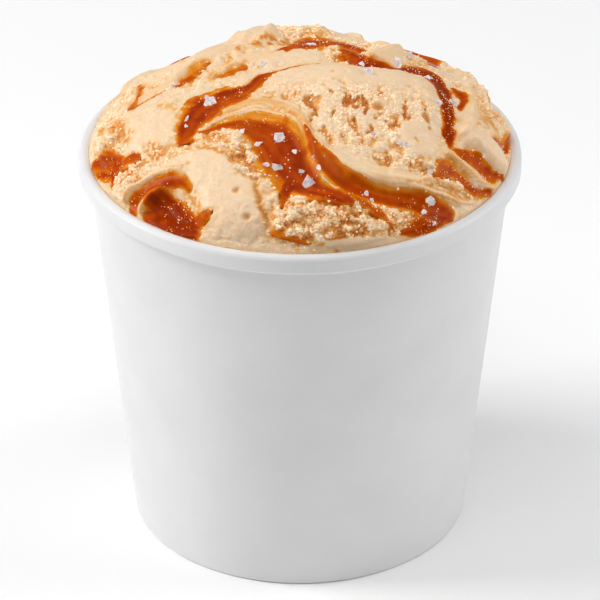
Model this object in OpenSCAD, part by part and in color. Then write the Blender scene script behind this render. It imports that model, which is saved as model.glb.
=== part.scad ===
// A pint tub of caramel-swirl ice cream, heaped above its rolled rim.
// Millimetres, +Z up, the origin in the middle of the ring that the tub stands on.

/* [Tub] */
// Diameter over the rolled rim
rim_d = 99; // [90:0.5:120]
// Diameter of the wall where it meets the table
base_d = 76.4; // [66:0.2:86]
// Height of the tub to the top of its rim
tub_h = 91.6; // [60:0.2:130]
// Thickness of the side wall's board
board_t = 0.55; // [0.4:0.05:0.58]

/* [Rolled rim] */
// Height of the rolled rim
roll_h = 4.4; // [3.6:0.1:6]
// How far the rim stands out of the wall
roll_out = 2.15; // [1.8:0.05:3]
// Radius of the rim's lower bend
roll_bend_r = 0.9; // [0.8:0.05:1]
// Gap between the end of the roll and the wall
roll_gap = 0.15; // [0.1:0.05:0.4]

/* [Base] */
// Depth of the hollow under the base disc
recess_h = 6.5; // [4.5:0.1:10]
// How far below the base disc the wall's folded edge ends
fold_gap = 1.3; // [0.5:0.1:2]
// Radius of the fold's two outer corners
fold_r = 0.65; // [0.6:0.05:0.8]
// Thickness of the base disc's board
disc_t = 0.5; // [0.4:0.05:0.8]
// Clearance of the disc's skirt in the fold, on each side
skirt_fit = 0.04; // [0.02:0.01:0.1]

/* [Side seam] */
// Width of the strip where the wall's two ends overlap
seam_w = 8; // [5:0.5:14]
// How far the pressed overlap stands out
seam_t = 0.3; // [0.1:0.05:0.5]

/* [Ice cream] */
// Height of the heap above the edge of the ice cream
heap_h = 21; // [12:0.5:30]
// How far the edge of the ice cream lies below the top of the rim
edge_drop = 1.6; // [1.4:0.1:6]
// Clearance between the ice cream and the board
fill_fit = 0.05; // [0.02:0.01:0.2]
// Depth of the caramel troughs, as a share of the modelled one
trough_scale = 1; // [0:0.1:1.5]
// Height of the folds and lobes, as a share of the modelled one
fold_scale = 1; // [0:0.1:1.3]
// Height of the small unevenness
crumb_h = 0.35; // [0:0.05:0.6]

/* [Hidden] */
$fn = 96;
arc_steps = 8;

// The roll is a flattened tube whose inner side is the wall itself.
roll_w = roll_out + board_t;
roll_top_r = roll_w / 2;
roll_mid = [rim_d / 2 - roll_top_r, tub_h - roll_top_r];
bend_mid = [rim_d / 2 - roll_bend_r, tub_h - roll_h + roll_bend_r];

// At the foot the board is folded in and up round the disc's skirt, with a flat
// ring between the fold's corners for the tub to stand on.
fold_w = 2 * (board_t + skirt_fit) + disc_t;
fold_outer = [wall_out(fold_r) - fold_r, fold_r];
fold_inner = [wall_out(fold_r) - fold_w + fold_r, fold_r];
fold_h = recess_h - fold_gap;
disc_top = recess_h + disc_t;
skirt_foot = fold_r + skirt_fit;

// The heap's features are placed on a round map of its surface. A place on the
// map is [u, v]: map_r units out from the top of the heap is its edge, along the
// surface, so a unit is close to a millimetre everywhere.
map_r = 56;
heap_edge_z = tub_h - edge_drop;
heap_r = wall_in(heap_edge_z) - fill_fit;
rings = 30;
spokes = 120;

// Caramel troughs: each is a depth and its middle line, as [u, v, half width].
main_swoop = [1.5, [[-22, -19.3, 0.8], [-17, -18.2, 1.2], [-12, -18.7, 2.2], [-8, -21.7, 3.6],
    [-5, -26, 4.4], [-3.5, -31, 4.2], [-1, -35, 3.8], [2, -38.2, 3], [6, -39.8, 1.8], [11, -41.2, 1.5],
    [16, -42.5, 1.8], [20, -45, 0.8]]];
lower_swoop = [1.7, [[0.8, -21, 0.5], [2.2, -25, 1.2], [4, -29, 1.8], [7, -33, 2.3], [11, -36, 2.6],
    [16, -37.6, 2.5], [21, -37.9, 2.5], [26, -37.4, 2.6], [31, -38.6, 3.4], [36, -38.6, 2.2]]];
front_pool = [1.2, [[36, -38, 1.8], [32.5, -41.5, 3.2], [28, -45, 2.8]]];
left_pool = [1.6, [[-25, -18, 1.6], [-24, -15, 2.6], [-21.5, -11, 3.4], [-18, -8, 3.6], [-14, -7, 2.8],
    [-10.5, -4.8, 1.6], [-8, -1.2, 1.1], [-5.5, 1, 0.7], [-1, 2.6, 0.5], [5, 3.4, 0.3]]];
high_ribbon = [1.2, [[-6, 11.5, 0.6], [-3, 13.8, 1.2], [0, 16, 2], [4, 18, 2.6], [8, 18.6, 2.5],
    [11.5, 17, 1.9], [15, 15, 1]]];
high_link = [1, [[9, 15, 1.4], [11.5, 11.5, 2.2], [12.8, 8, 2], [13.2, 5, 1.2]]];
right_rim_ribbon = [1.8, [[12, 4.2, 0.8], [15, 5.2, 1.7], [18, 6.6, 1.8], [22, 6.8, 1.2], [26, 8.6, 2.4],
    [29, 7.6, 2.2], [31.6, 4.6, 1.9], [32.6, 0.5, 1.4], [33.1, -4, 1.2], [33.4, -9, 1.3], [33.6, -14, 1.2],
    [33.6, -18, 0.8]]];
right_fold_gap = [1.6, [[36.5, -19.2, 1.2], [42, -19, 1.8], [47, -19.6, 1.8], [51, -18, 1.2]]];
right_low_gap = [1.3, [[32.5, -27, 1.2], [34.4, -25.4, 2], [38.5, -26.6, 1.7], [43, -27.2, 1.4],
    [48, -25.8, 1]]];
right_edge_gap = [1.4, [[47, -8, 1], [50, -5, 1.8], [53, -3, 1.8]]];
left_pocket = [2, [[-37.5, -20.3, 0.8], [-42, -18.6, 2.2], [-46, -18.4, 3], [-50, -14, 2.6],
    [-53, -10, 1.8]]];
curl_pocket = [2.6, [[-30.5, -34.5, 3], [-30.4, -38, 4.4], [-29.4, -42, 4.2], [-27, -45.5, 3]]];
curl_outer = [1.3, [[-42.5, -33.5, 1.4], [-40, -30.6, 1.3], [-36, -30.2, 0.7]]];
crevice = [2.4, [[-0.5, -37.5, 1.6], [-2.4, -41, 1.5], [-3.4, -44.4, 1.1]]];
back_swoop = [1.6, [[-35, 35, 1], [-27, 41.5, 1.9], [-16, 46, 3.1], [-5, 48.5, 3.6], [6, 47.5, 2.8],
    [14, 43.5, 1.4]]];
back_ribbon = [1.5, [[12, 51, 1], [20, 46.5, 2.2], [27, 39, 2.8], [31, 30, 2.2], [31.5, 22, 1.4],
    [30, 16, 1]]];
back_left_ribbon = [1.6, [[-52, 14, 1], [-49, 22, 2.2], [-43, 31, 2.6], [-37, 38, 2], [-31, 45, 1]]];
troughs = [main_swoop, lower_swoop, front_pool, left_pool, high_ribbon, high_link, right_rim_ribbon,
    right_fold_gap, right_low_gap, right_edge_gap, left_pocket, curl_pocket, curl_outer, crevice,
    back_swoop, back_ribbon, back_left_ribbon];

// Lobes, each [u, v, half length, half width, turn in degrees, height].
lobes = [
    [-18, -37, 15, 9, -62, 1.5],    // smooth mound at the front left
    [16, -5, 21, 10, 3, 1.5],       // the broad scoop
    [27, -20, 9, 8, 60, 0.8],       // its smooth flank
    [14, -32.5, 13, 3, -18, 1.3],   // its lip over the lower swoop
    [6.5, -37, 7.5, 1.5, -48, 0.9], // thin fold between the swoops
    [-9, -13, 11, 2, -6, 0.8],      // fold above the main swoop
    [8, -46, 14, 6.5, 6, 2.7],      // crumbly mound at the front
    [43, 0, 7, 11, 0, 1.2],         // bank at the right
    [44, -13.5, 8.5, 3.4, -6, 2.4], // finger of ice cream at the right
    [42, -23.6, 8.5, 1.6, -2, 1.1], // fold below it
    [-33, -9, 10, 10, 0, 0.8],      // smooth face at the left
    [-46, -6, 4, 8, 20, 1.2],       // bank at the left
    [-44, -27, 6, 3.5, -40, 1.4],   // low bank over the curl
    [-21, 11, 14, 4, 22, 1.0],      // ridge towards the top
    [-9.5, 23, 6, 6, 10, 2.8],      // knob on the skyline
    [1, 30, 7, 6, 0, 1.3],          // crumbs beside it
    [19, 13, 9, 3.5, 55, 1.3],      // slanting fold behind the broad scoop
    [40, 21, 8, 6, -60, 1.9],       // bank at the back right
    [52, 3, 4, 5, -75, 1.5],        // lobe at the right edge
    [-40, 27, 6, 4, 50, 0.9],       // bank at the back left
    [-4, 44, 12, 5, -4, 1.6],       // the middle of the back
    [35, 37, 10, 8, -45, 1.2],
    [-30, 45, 12, 5, 40, 1.2],
];
// Hollows between them, in the same order: the last number is the depth.
hollows = [
    [-26, 30, 15, 9, 25, 1.7],
    [10, 41, 7, 8, 0, 2.2],
    [23, 31, 9, 7, -25, 1.5],
    [-30.3, -39, 7, 6.5, 0, 2.2],   // the curl's bowl
    [-4.5, -28.5, 11, 5, -58, 0.9], // the main swoop's valley
    [20, -38.2, 14, 3.5, 0, 0.6],   // the lower swoop's
    [33, -5, 13, 3.4, 88, 1.1],     // the right ribbon's
    [-47, -16, 8, 4.5, 25, 1.3],    // the left pocket
];
// How far the whole surface has settled below the plain dome
settled = 0.6;

// A lobe is level over its middle and fades over the rest, and so is a trough,
// each measured as a share of its half width.
lobe_level = 0.55;
lobe_fade = 0.9;
trough_level = 0.4;
trough_fade = 1.1;
// The relief fades out over this share of the way to the edge, so that no lobe
// swells into the wall.
edge_fade = 0.13;
// The small unevenness is calm within this distance of the top, where the spokes meet.
calm_r = 9;
// Its waves: degrees per unit in u and in v, then how many degrees each is thrown
// off by a second wave, and that wave's degrees per unit in u and in v.
waves = [[47, 0, 60, 0, 23], [0, 53, 70, 19, 0], [101, -67, 80, 31, 17]];

function arc(mid, r, from, to) =
    [for (i = [0 : arc_steps]) let (a = from + (to - from) * i / arc_steps) mid + r * [cos(a), sin(a)]];

// Radius of the wall's outer and inner faces at height z.
function wall_out(z) = base_d / 2 + (rim_d / 2 - roll_out - base_d / 2) * z / roll_mid[1];
function wall_in(z) = wall_out(z) - board_t;

// The side wall's board in section: over the roll and back under it, down the
// outside, round the fold, up to its edge and back up the inside.
function wall_section() = concat(
    arc(roll_mid, roll_top_r, 180, 0),
    arc(bend_mid, roll_bend_r, 0, -90),
    [[wall_out(tub_h - roll_h) + roll_gap, tub_h - roll_h],
     [wall_out(tub_h - roll_h) + roll_gap, tub_h - roll_h + board_t]],
    arc(bend_mid, roll_bend_r - board_t, -90, 0),
    arc(roll_mid, roll_top_r - board_t, 0, 180),
    arc(fold_outer, fold_r, 0, -90),
    arc(fold_inner, fold_r, -90, -180),
    [[wall_out(fold_h) - fold_w, fold_h],
     [wall_out(fold_h) - fold_w + board_t, fold_h]],
    arc(fold_inner, fold_r - board_t, -180, -90),
    arc(fold_outer, fold_r - board_t, -90, 0));

module side_wall() {
    seam_turn = seam_w / (PI * rim_d) * 360;
    seam_top = tub_h - roll_h - roll_gap;
    color("white") union() {
        rotate_extrude() polygon(wall_section());
        rotate([0, 0, 90 - seam_turn / 2]) rotate_extrude(angle = seam_turn) polygon([
            [wall_out(fold_r) - board_t / 2, fold_r],
            [wall_out(fold_r) + seam_t, fold_r],
            [wall_out(seam_top) + seam_t, seam_top],
            [wall_out(seam_top) - board_t / 2, seam_top]]);
    }
}

function skirt_out(z) = wall_in(z) - skirt_fit;

module base_disc() {
    color("white") rotate_extrude() polygon(concat(
        [[0, recess_h],
         [skirt_out(recess_h) - disc_t, recess_h],
         [skirt_out(skirt_foot) - disc_t, skirt_foot],
         [skirt_out(skirt_foot), skirt_foot]],
        arc([skirt_out(recess_h) - disc_t, recess_h], disc_t, 0, 90),
        [[0, disc_top]]));
}

function smooth(x) = let (c = max(0, min(1, x))) c * c * (3 - 2 * c);

// Distance of p from the stretch a-b less its half width there, as a share of it.
function past_stretch(p, a, b) =
    let (ab = [b[0] - a[0], b[1] - a[1]],
         t = max(0, min(1, ((p - [a[0], a[1]]) * ab) / (ab * ab))),
         w = a[2] + (b[2] - a[2]) * t)
    norm(p - [a[0], a[1]] - ab * t) / w;
function past_line(p, line) = min([for (i = [1 : len(line) - 1]) past_stretch(p, line[i - 1], line[i])]);
function trough(p, tr) = tr[0] * (1 - smooth((past_line(p, tr[1]) - trough_level) / trough_fade));

function lobe(p, l) =
    let (d = p - [l[0], l[1]],
         along = (d[0] * cos(l[4]) + d[1] * sin(l[4])) / l[2],
         across = (d[1] * cos(l[4]) - d[0] * sin(l[4])) / l[3])
    l[5] * (1 - smooth((norm([along, across]) - lobe_level) / lobe_fade));

function wave(p, w) = sin(w[0] * p[0] + w[1] * p[1] + w[2] * sin(w[3] * p[0] + w[4] * p[1]));
function crumbs(p) =
    smooth(norm(p) / calm_r) * (wave(p, waves[0]) * wave(p, waves[1]) + wave(p, waves[2]) / 2);

function sum(list) = list * [for (x = list) 1];

function relief(p) =
    fold_scale * (max([for (l = lobes) lobe(p, l)]) - sum([for (h = hollows) lobe(p, h)]) - settled)
    - trough_scale * max([for (tr = troughs) trough(p, tr)])
    + crumb_h * crumbs(p);

// A place on the map brought onto the heap, and lifted off it by its relief. The
// slope runs from 0 at the top to 90 degrees at the edge, in the mix of share and
// share cubed that keeps the rings about evenly spaced along the flat dome.
function on_heap(p) =
    let (share = norm(p) / map_r,
         steep = 90 * (3 * share + pow(share, 3)) / 4,
         way = share > 0 ? p / norm(p) : [1, 0],
         up = [sin(steep) * way[0] / heap_r, sin(steep) * way[1] / heap_r, cos(steep) / heap_h],
         lift = relief(p) * smooth((1 - share) / edge_fade))
    [heap_r * sin(steep) * way[0], heap_r * sin(steep) * way[1], heap_edge_z + heap_h * cos(steep)]
    + lift * up / norm(up);

function ring(i) =
    [for (j = [0 : spokes - 1]) let (a = 360 * j / spokes) map_r * i / rings * [cos(a), sin(a)]];
function level(r, z) = [for (j = [0 : spokes - 1]) let (a = 360 * j / spokes) [r * cos(a), r * sin(a), z]];

// One solid: the heap's top, then rings, the foot on the base disc and its middle.
module ice_cream() {
    foot_z = disc_top + fill_fit;
    points = concat(
        [on_heap([0, 0])],
        [for (i = [1 : rings]) each [for (p = ring(i)) on_heap(p)]],
        level(wall_in(foot_z) - fill_fit, foot_z),
        [[0, 0, foot_z]]);
    last = len(points) - 1;
    function at(i, j) = 1 + i * spokes + j % spokes;
    faces = concat(
        [for (j = [0 : spokes - 1]) [0, at(0, j + 1), at(0, j)]],
        [for (i = [0 : rings - 1], j = [0 : spokes - 1]) [at(i, j), at(i, j + 1), at(i + 1, j + 1)]],
        [for (i = [0 : rings - 1], j = [0 : spokes - 1]) [at(i, j), at(i + 1, j + 1), at(i + 1, j)]],
        [for (j = [0 : spokes - 1]) [at(rings, j), at(rings, j + 1), last]]);
    color("burlywood") polyhedron(points = points, faces = faces, convexity = 6);
}

side_wall();
base_disc();
ice_cream();
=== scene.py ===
# %% [markdown]
# # A pint of caramel swirl ice cream
# The real thing is a white paperboard tub, filled past its rim with ice cream that was scooped in
# and pressed down, so that the top is a low dome of lobes, folds and torn, crumbly faces. Caramel
# runs through it in ribbons, and salt flakes lie on top. The CAD frame gives the tub and the rough
# form of the heap. This script gives each surface its finish, and models the heap again finely.

# %% Load the frame
import math
import random

import bmesh
import bpy
import numpy as np
from mathutils import Matrix, Vector, noise


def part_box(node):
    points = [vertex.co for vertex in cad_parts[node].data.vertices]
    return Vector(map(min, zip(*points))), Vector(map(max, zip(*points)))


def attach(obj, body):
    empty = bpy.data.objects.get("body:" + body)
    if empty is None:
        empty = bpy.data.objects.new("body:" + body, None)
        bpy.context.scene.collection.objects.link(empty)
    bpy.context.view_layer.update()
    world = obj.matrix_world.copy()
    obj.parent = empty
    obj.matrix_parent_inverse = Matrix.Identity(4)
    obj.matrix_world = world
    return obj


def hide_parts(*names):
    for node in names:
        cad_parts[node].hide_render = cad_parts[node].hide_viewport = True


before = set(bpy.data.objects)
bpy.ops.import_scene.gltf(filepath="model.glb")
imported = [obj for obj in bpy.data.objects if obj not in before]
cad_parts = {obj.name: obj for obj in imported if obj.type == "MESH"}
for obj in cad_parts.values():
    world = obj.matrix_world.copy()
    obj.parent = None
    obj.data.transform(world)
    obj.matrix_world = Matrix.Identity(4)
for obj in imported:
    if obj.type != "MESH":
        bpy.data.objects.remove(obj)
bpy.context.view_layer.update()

MM = 0.001  # a millimetre; the scene is in metres
_, rim_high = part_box("side_wall")
cream_low, cream_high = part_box("ice_cream")
RIM_R = rim_high[0]
TUB_H = rim_high[2]
HEAP_R = cream_high[0]
print("tub", round(2 * RIM_R / MM, 1), "mm wide,", round(TUB_H / MM, 1), "mm tall")
print("heap", round(2 * HEAP_R / MM, 1), "mm wide, its top at", round(cream_high[2] / MM, 1), "mm")

# %% [markdown]
# ## The camera
# Food in a tub is shown from a little above, so that the wall and the top both read. A long lens
# from a metre away keeps the wall's taper honest: a short lens close by would pinch the foot.

# %% Camera
CAMERA_AWAY = 1.0206
CAMERA_UP = math.radians(30.45)
CAMERA_AIM_Z = 52.15 * MM
FOCAL_LENGTH = 269
SENSOR_WIDTH = 36
SEES_TO = 20

camera_data = bpy.data.cameras.new("camera")
camera_data.lens = FOCAL_LENGTH
camera_data.sensor_width = SENSOR_WIDTH
camera_data.clip_end = SEES_TO
camera = bpy.data.objects.new("camera", camera_data)
camera.location = (0, -CAMERA_AWAY * math.cos(CAMERA_UP),
                   CAMERA_AIM_Z + CAMERA_AWAY * math.sin(CAMERA_UP))
camera.rotation_euler = (math.pi / 2 - CAMERA_UP, 0, 0)
bpy.context.scene.collection.objects.link(camera)
bpy.context.scene.camera = camera
print("camera at", [round(x, 3) for x in camera.location])

# %% [markdown]
# ## Soft light and a pale floor
# White board shows its shape only by how the light falls off round it. A big lamp overhead keeps
# the shadows soft, one on the left rim-lights the board, and one in front and above reaches into
# the folds of the ice cream. The floor is plain, so that nothing colours the white board.

# %% Lights
LIGHTS_AIM_Z = 0.07
WORLD_STRENGTH = 0.11


def add_light(name, place, size, power):
    """A soft white oblong lamp that points at the upper part of the tub."""
    data = bpy.data.lights.new(name, "AREA")
    data.shape = "RECTANGLE"
    data.size, data.size_y = size
    data.energy = power
    lamp = bpy.data.objects.new(name, data)
    lamp.location = place
    aim = Vector((0, 0, LIGHTS_AIM_Z)) - Vector(place)
    lamp.rotation_euler = aim.to_track_quat("-Z", "Y").to_euler()
    bpy.context.scene.collection.objects.link(lamp)


# name, place in metres, size in metres, power in watts
add_light("key", (-0.95, 0.05, 0.66), (0.5, 0.5), 7.6)
add_light("fill", (0.95, 0.1, 0.5), (0.6, 0.7), 4.5)
add_light("overhead", (-0.1, 0.1, 1.2), (1.8, 1.8), 6.8)
add_light("front", (-0.15, -0.65, 1.5), (1.2, 1.0), 6.2)

world = bpy.data.worlds.new("studio")
world.use_nodes = True
background = world.node_tree.nodes["Background"]
background.inputs["Color"].default_value = (1, 1, 1, 1)
background.inputs["Strength"].default_value = WORLD_STRENGTH
bpy.context.scene.world = world
print([lamp.name for lamp in bpy.data.lights], "and a dim white world")

# %% Floor
FLOOR_HALF_SIDE = 3


def new_object(name, bm):
    """An object in the scene from a bmesh, which is used up."""
    mesh = bpy.data.meshes.new(name)
    bm.to_mesh(mesh)
    bm.free()
    piece = bpy.data.objects.new(name, mesh)
    bpy.context.scene.collection.objects.link(piece)
    return piece


bm = bmesh.new()
bmesh.ops.create_grid(bm, x_segments=1, y_segments=1, size=FLOOR_HALF_SIDE)
floor = new_object("floor", bm)
print("floor", [round(side, 1) for side in floor.dimensions], "m")

# %% [markdown]
# ## A helper for finishes
# Every finish here is a principled shader, some noise and a colour ramp, so one small class keeps
# the node tree and adds them. The noise reads Object coordinates in metres: a scale of 1500 means
# grain of about two thirds of a millimetre, and the finish stays on the piece when it is moved.

# %% The finish class
class Finish:
    """A material, with short ways to add the nodes that every finish here is made of."""

    def __init__(self, name):
        self.material = bpy.data.materials.new(name)
        self.material.use_nodes = True
        self.nodes = self.material.node_tree.nodes
        self.shader = self.nodes["Principled BSDF"]

    def fill(self, node, inputs):
        """Inputs by name or number: another node's output is linked, a plain value is set."""
        for name, value in inputs.items():
            if isinstance(value, bpy.types.NodeSocket):
                self.material.node_tree.links.new(value, node.inputs[name])
            else:
                node.inputs[name].default_value = value
        return node

    def place(self):
        """Where a point is on the piece, in metres."""
        return self.nodes.new("ShaderNodeTexCoord").outputs["Object"]

    def attribute(self, name):
        """The number of that name that the mesh keeps for each point."""
        node = self.nodes.new("ShaderNodeAttribute")
        node.attribute_name = name
        return node.outputs["Fac"]

    def maths(self, operation, *values):
        """One sum on outputs or plain numbers."""
        node = self.nodes.new("ShaderNodeMath")
        node.operation = operation
        return self.fill(node, dict(enumerate(values))).outputs["Value"]

    def noise(self, place, scale, detail=3.0, roughness=0.5, output="Fac"):
        """Noise read at a place: a number, or three of them as a colour."""
        inputs = {"Vector": place, "Scale": scale, "Detail": detail, "Roughness": roughness}
        return self.fill(self.nodes.new("ShaderNodeTexNoise"), inputs).outputs[output]

    def bump(self, height, distance, strength, before=None):
        """Fine relief from a height, distance metres tall, on top of the bump before it."""
        inputs = {"Height": height, "Distance": distance, "Strength": strength}
        if before:
            inputs["Normal"] = before
        return self.fill(self.nodes.new("ShaderNodeBump"), inputs).outputs["Normal"]

    def ramp(self, number, stops):
        """A colour picked by a number from (place, colour) stops."""
        node = self.fill(self.nodes.new("ShaderNodeValToRGB"), {"Fac": number})
        elements = node.color_ramp.elements
        while len(elements) < len(stops):
            elements.new(0.5)
        for element, (place, colour) in zip(elements, stops):
            element.position = place
            element.color = (*colour, 1)
        return node.outputs["Color"]

    def scatter(self, weight, radius, scale):
        """Light that goes in and out again: how much, how far in each colour, and the reach."""
        self.fill(self.shader, {"Subsurface Weight": weight, "Subsurface Radius": radius,
                                "Subsurface Scale": scale})


print("a finish can add", [way for way in vars(Finish) if not way.startswith("_")])

# %% [markdown]
# ## White paperboard
# Tub board is coated paper: nearly white, faintly mottled where the coating lies unevenly, and
# satin, with fibres that just break up the highlight. Pure white would lose the wall's shading.
# The CAD's wall and base disc keep their shape and only get this finish.

# %% The floor's and the board's finish
def floor_material():
    """A plain near-white floor."""
    finish = Finish("floor")
    finish.fill(finish.shader, {"Base Color": (0.97, 0.97, 0.97, 1), "Roughness": 0.8})
    return finish.material


def paperboard():
    """Coated board: a faint mottle, fine fibres and a satin shine."""
    finish = Finish("paperboard")
    place = finish.place()
    mottle = finish.noise(place, 60)
    fibres = finish.noise(place, 1500, 4, 0.7)
    finish.fill(finish.shader, {
        "Base Color": finish.ramp(mottle, [(0.3, (0.79, 0.79, 0.795)), (0.7, (0.83, 0.83, 0.833))]),
        "Normal": finish.bump(fibres, 0.03 * MM, 0.25),
        "Roughness": 0.42,
        "Specular IOR Level": 0.5,
    })
    return finish.material


floor.data.materials.append(floor_material())
board = paperboard()
for name in ("side_wall", "base_disc"):
    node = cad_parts[name]
    node.data.materials.clear()
    node.data.materials.append(board)
    print(name, len(node.data.polygons), "faces in", board.name)

# %% [markdown]
# ## The heap's surface as a round map
# Everything that shows on the ice cream is placed on one round map of its surface. A place on the
# map is (u, v): it starts at the top of the heap, u runs right and v runs away from the camera, and
# a unit is close to a millimetre along the surface. Working on a map keeps a ribbon's width true
# where the dome falls away towards the rim, which plain x and y from above would not do.

# %% The base form: half an icosphere, laid over the dome
EDGE_DROP = 1.6 * MM  # the heap meets the wall this far below the rim
HEAP_EDGE_Z = TUB_H - EDGE_DROP
HEAP_H = 21 * MM  # the bare dome above that
MAP_R = 56.0  # the map's edge, in map units from its middle

heap_bm = bmesh.new()
bmesh.ops.create_icosphere(heap_bm, subdivisions=8, radius=1.0)
bmesh.ops.bisect_plane(
    heap_bm, geom=heap_bm.verts[:] + heap_bm.edges[:] + heap_bm.faces[:], dist=1e-6,
    plane_co=(0, 0, 0), plane_no=(0, 0, -1), clear_outer=True)
heap_bm.verts.ensure_lookup_table()
print("dome of", len(heap_bm.verts), "points and", len(heap_bm.faces), "faces")

ball = np.array([v.co[:] for v in heap_bm.verts])
flat = np.hypot(ball[:, 0], ball[:, 1])
SHARE = np.arctan2(flat, np.maximum(ball[:, 2], 0)) / (math.pi / 2)
WAY = ball[:, :2] / np.maximum(flat, 1e-9)[:, None]
U, V = (WAY * (SHARE * MAP_R)[:, None]).T

# %% From the map onto the dome
def on_dome(u, v):
    """The point of the bare dome under a place on the map, and its outward direction."""
    far = np.hypot(u, v)
    way_x, way_y = u / np.maximum(far, 1e-9), v / np.maximum(far, 1e-9)
    t = far / MAP_R
    # the angle down from the top grows faster towards the edge, so that lengths stay true
    steep = math.pi / 2 * (3 * t + t ** 3) / 4
    point = np.stack([HEAP_R * np.sin(steep) * way_x, HEAP_R * np.sin(steep) * way_y,
                      HEAP_EDGE_Z + HEAP_H * np.cos(steep)], axis=-1)
    out = np.stack([np.sin(steep) * way_x / HEAP_R, np.sin(steep) * way_y / HEAP_R,
                    np.cos(steep) / HEAP_H], axis=-1)
    return point, out / np.linalg.norm(out, axis=-1, keepdims=True)


POINT, OUT = on_dome(U, V)
print("the bare dome reaches", round(float(POINT[:, 2].max()) / MM, 1), "mm")

# %% [markdown]
# ## Reading noise and distances for every point at once
# A sculptor would push each fold by hand. Here a fold or ribbon is a line with a few given
# points, `(u, v, half width)`, and every point of the dome asks how far it is from that line.
# Blender's own noise then breaks the edges up, so that nothing looks drawn with a ruler.

# %% Smooth lines and distances
THINNEST = 0.05  # no line is thinner than this, to divide by


def ease(x):
    """0 up to 0, 1 from 1 on, and a smooth climb between."""
    x = np.clip(x, 0, 1)
    return x * x * (3 - 2 * x)


def flowing(points, step=0.6):
    """Close-set (u, v, half width) rows along a smooth line through a few given ones."""
    p = np.array(points, dtype=float)
    p = np.vstack([2 * p[0] - p[1], p, 2 * p[-1] - p[-2]])
    rows = []
    for a, b, c, d in zip(p, p[1:], p[2:], p[3:]):
        t = np.linspace(0, 1, max(2, int(np.hypot(*(c - b)[:2]) / step)), endpoint=False)[:, None]
        rows.append(0.5 * (2 * b + (c - a) * t + (2 * a - 5 * b + 4 * c - d) * t ** 2
                           + (3 * b - a - 3 * c + d) * t ** 3))
    return np.vstack(rows + [p[-2][None]])


def near(points, reach):
    """What lies within reach of a line: which points, and for each its distance, the line's half
    width there, the way along it and the signed distance across it (left of its run is more)."""
    line = flowing(points)
    low, high = line[:, :2].min(axis=0) - reach, line[:, :2].max(axis=0) + reach
    which = np.flatnonzero((U > low[0]) & (U < high[0]) & (V > low[1]) & (V < high[1]))
    run = np.concatenate([[0], np.cumsum(np.hypot(*np.diff(line[:, :2], axis=0).T))])
    gap_u = U[which][:, None] - line[None, :, 0]
    gap_v = V[which][:, None] - line[None, :, 1]
    nearest = np.argmin(gap_u ** 2 + gap_v ** 2, axis=1)
    row = np.arange(len(which))
    heading = np.gradient(line[:, :2], axis=0)[nearest]
    heading /= np.linalg.norm(heading, axis=1, keepdims=True)
    du, dv = gap_u[row, nearest], gap_v[row, nearest]
    across = heading[:, 0] * dv - heading[:, 1] * du
    away = np.hypot(du, dv)
    keep = away < reach
    along = run[nearest] + heading[:, 0] * du + heading[:, 1] * dv
    half = np.maximum(line[nearest, 2], THINNEST)
    return which[keep], away[keep], half[keep], along[keep], across[keep]


print("a line across the map has", len(flowing([(-MAP_R, 0, 1), (MAP_R, 0, 1)])), "places")

# %% Noise, lumps and ovals on the map
NOISE_GAIN = 1.6  # Blender's noise seldom goes past 0.6 by itself


def grain(size, seed, u=None, v=None):
    """Blender's noise with blobs of about that size in map units, from -1 to 1."""
    u, v = (U, V) if u is None else (u, v)
    places = zip((u / size).tolist(), (v / size).tolist())
    return np.array([noise.noise((a, b, seed)) for a, b in places]) * NOISE_GAIN


def lumps(size, seed):
    """Round lumps of about that size: 1 at the middle of each, 0 in the seams between them."""
    places = zip((U / size).tolist(), (V / size).tolist())
    two = np.array([noise.voronoi((a, b, seed))[0][:2] for a, b in places])
    return ease((two[:, 1] - two[:, 0]) * 1.5)


def spot(u, v, length, width, turn=0.0, soft=0.5):
    """1 inside an oval on the map, fading to 0 over the soft outer part of it."""
    c, s = math.cos(math.radians(turn)), math.sin(math.radians(turn))
    along = ((U - u) * c + (V - v) * s) / length
    across = ((V - v) * c - (U - u) * s) / width
    return 1 - ease((np.hypot(along, across) - (1 - soft)) / (2 * soft))


# a waver that is added to places and distances, so that edges wander
WAVER_U = 1.1 * grain(5, 11.3) + 0.5 * grain(1.8, 12.7)
WAVER_V = 1.1 * grain(5, 21.3) + 0.5 * grain(1.8, 22.7)
print("noise read at", len(U), "points")

# %% [markdown]
# ## Scoop lobes and folds
# The heap is made of a few big scoops that were pressed together. Each is a low oval swelling. The
# folds between them are thin ridges where a spoon dragged the soft edge of one scoop over another.

# %% Lobes
LOBES = {
    # name: (u, v, length, width, turn in degrees, height in millimetres)
    "front left mound": (-18, -37, 15, 9, -62, 1.5),
    "broad scoop": (16, -5, 21, 10, 3, 1.5),
    "scoop flank": (27, -20, 9, 8, 60, 0.8),
    "front mound": (8, -46, 14, 6.5, 6, 2.7),
    "right bank": (43, 0, 7, 11, 0, 1.2),
    "right finger": (44, -13.5, 8.5, 3.4, -6, 2.4),
    "left face": (-33, -9, 10, 10, 0, 0.8),
    "left bank": (-46, -6, 4, 8, 20, 1.2),
    "left top ridge": (-21, 11, 14, 4, 22, 1.0),
    "left low bank": (-44, -27, 6, 3.5, -40, 1.4),
    "skyline knob": (-9.5, 23, 6, 6, 10, 2.4),
    "skyline crumbs": (1, 30, 7, 6, 0, 1.3),
    "back fold": (19, 13, 9, 3.5, 55, 1.3),
    "back right bank": (42, 18.5, 7, 5, -60, 1.9),
    "right rim lobe": (50, 5, 6, 5, -75, 1.9),
    "back left bank": (-40, 27, 6, 4, 50, 0.9),
    "back middle": (-4, 44, 12, 5, -4, 1.6),
    "back right low": (35, 37, 10, 8, -45, 1.2),
    "back left low": (-30, 45, 12, 5, 40, 1.2),
}
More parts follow.
